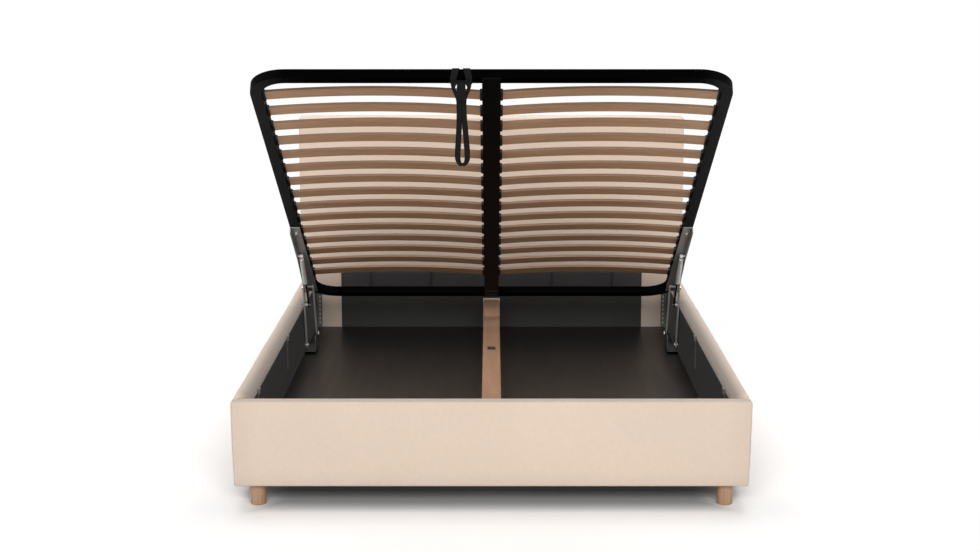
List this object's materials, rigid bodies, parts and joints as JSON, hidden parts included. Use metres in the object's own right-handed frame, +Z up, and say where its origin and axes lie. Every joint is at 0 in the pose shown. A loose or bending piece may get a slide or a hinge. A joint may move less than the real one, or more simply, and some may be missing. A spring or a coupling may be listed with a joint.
{
  "type": "ottoman storage bed",
  "caption": "Upholstered storage bed shown open: a slatted platform on lift linkages with gas struts rises over two storage bays.",
  "frame": {"origin": "on the ground under the centre of the open bed's footprint", "axes": "+Z up, +Y from the foot panel to the headboard, +X to the right seen from the foot"},
  "size_m": [1.656, 2.1664, 1.4074],
  "materials": {
    "upholstery": "woven",
    "dark_lining": "matt nonwoven",
    "timber": "bare",
    "dark_board": "dark film",
    "beam_board": "satin",
    "slat_wood": "satin",
    "leg_wood": "satin",
    "black_steel": "satin black",
    "grey_steel": "satin grey",
    "zinc": "zinc plated",
    "strut_grey": "satin light grey",
    "rod_steel": "dark polished",
    "black_plastic": "matt",
    "bumper_rubber": "matt",
    "webbing": "woven",
    "shoe_metal": "satin"
  },
  "bodies": {
    "base": {"base_rivets": "zinc", "beam_bumper": "bumper_rubber", "beam_shoes": "shoe_metal", "centre_beam": "beam_board", "corner_angles": "grey_steel", "floor_battens": "timber", "foot_lining": "dark_lining", "foot_panel_board": "timber", "foot_panel_cover": "upholstery", "front_legs": "leg_wood", "guide_brackets": "grey_steel", "headboard_board": "timber", "headboard_cover": "upholstery", "headboard_lining": "dark_lining", "headboard_pads": "dark_lining", "left_base_channel": "grey_steel", "left_floor_board": "dark_board", "left_lining": "dark_lining", "left_rail_board": "timber", "left_rail_cover": "upholstery", "leg_blocks": "timber", "rear_legs": "leg_wood", "right_base_channel": "grey_steel", "right_floor_board": "dark_board", "right_lining": "dark_lining", "right_rail_board": "timber", "right_rail_cover": "upholstery"},
    "left_outer_link": {"left_outer_link": "grey_steel"},
    "platform": {"slat_row_01": "slat_wood", "slat_row_02": "slat_wood", "slat_row_03": "slat_wood", "slat_row_04": "slat_wood", "slat_row_05": "slat_wood", "slat_row_06": "slat_wood", "slat_row_07": "slat_wood", "slat_row_08": "slat_wood", "slat_row_09": "slat_wood", "slat_row_10": "slat_wood", "slat_row_11": "slat_wood", "slat_row_12": "slat_wood", "slat_row_13": "slat_wood", "slat_row_14": "slat_wood", "slat_row_15": "slat_wood", "platform_frame": "black_steel", "centre_bar": "black_steel", "side_holders": "black_plastic", "centre_holders": "black_plastic", "left_upper_plate": "grey_steel", "right_upper_plate": "grey_steel", "plate_bolts": "zinc", "upper_rivets": "zinc", "strap_hitch": "webbing"},
    "right_outer_link": {"right_outer_link": "grey_steel"},
    "left_inner_link": {"left_inner_link": "grey_steel"},
    "right_inner_link": {"right_inner_link": "grey_steel"},
    "left_strut_rod": {"left_strut_rod": "rod_steel"},
    "left_strut_cylinder": {"left_strut_cylinder": "strut_grey"},
    "right_strut_rod": {"right_strut_rod": "rod_steel"},
    "right_strut_cylinder": {"right_strut_cylinder": "strut_grey"},
    "pull_strap": {"pull_strap": "webbing"}
  },
  "joints": [
    {"name": "lift", "type": "hinge", "parent": "base", "child": "left_outer_link", "pos_m": [-0.7535, 0.5084, 0.186], "axis": [1, 0, 0], "range_deg": [-98.14, 0], "stiffness_Nm_per_rad": 60, "springref_deg": 137.51},
    {"name": "platform_tilt", "type": "hinge", "parent": "left_outer_link", "child": "platform", "pos_m": [-0.7535, 0.41829, 0.44165], "axis": [1, 0, 0], "range_deg": [0, 128.71]},
    {"name": "right_outer_swing", "type": "hinge", "parent": "base", "child": "right_outer_link", "pos_m": [0.7535, 0.5084, 0.186], "axis": [1, 0, 0], "range_deg": [-98.16, 0]},
    {"name": "left_inner_swing", "type": "hinge", "parent": "base", "child": "left_inner_link", "pos_m": [-0.7232, 0.60488, 0.212], "axis": [1, 0, 0], "range_deg": [-103.84, 0]},
    {"name": "left_strut_swing", "type": "hinge", "parent": "left_outer_link", "child": "left_strut_rod", "pos_m": [-0.7357, 0.44532, 0.36496], "axis": [1, 0, 0], "range_deg": [0, 129.2]},
    {"name": "left_strut_slide", "type": "slide", "parent": "left_strut_rod", "child": "left_strut_cylinder", "axis": [0, -0.7161, 0.698], "range_m": [-0.14661, 0]},
    {"name": "right_inner_swing", "type": "hinge", "parent": "base", "child": "right_inner_link", "pos_m": [0.7232, 0.60488, 0.212], "axis": [1, 0, 0], "range_deg": [-103.84, 0]},
    {"name": "right_strut_swing", "type": "hinge", "parent": "right_outer_link", "child": "right_strut_rod", "pos_m": [0.7357, 0.44532, 0.36496], "axis": [1, 0, 0], "range_deg": [0, 129.2]},
    {"name": "right_strut_slide", "type": "slide", "parent": "right_strut_rod", "child": "right_strut_cylinder", "axis": [0, -0.7161, 0.698], "range_m": [-0.14661, 0]},
    {"name": "strap_swing", "type": "hinge", "parent": "platform", "child": "pull_strap", "pos_m": [-0.089, -1.06759, 1.36313], "axis": [1, 0, 0], "range_deg": [0, 33.47]}
  ],
  "couplings": [
    {"joint": "platform_tilt", "follows": "lift", "ratio": -1.3113},
    {"joint": "right_outer_swing", "follows": "lift", "ratio": 1},
    {"joint": "left_inner_swing", "follows": "lift", "ratio": 1.0579},
    {"joint": "left_strut_swing", "follows": "lift", "ratio": -1.3162},
    {"joint": "left_strut_slide", "follows": "lift", "m_per_rad": 0.085582},
    {"joint": "right_inner_swing", "follows": "lift", "ratio": 1.0579},
    {"joint": "right_strut_swing", "follows": "lift", "ratio": -1.3162},
    {"joint": "right_strut_slide", "follows": "lift", "m_per_rad": 0.085582},
    {"joint": "strap_swing", "follows": "lift", "ratio": -0.34084}
  ]
}
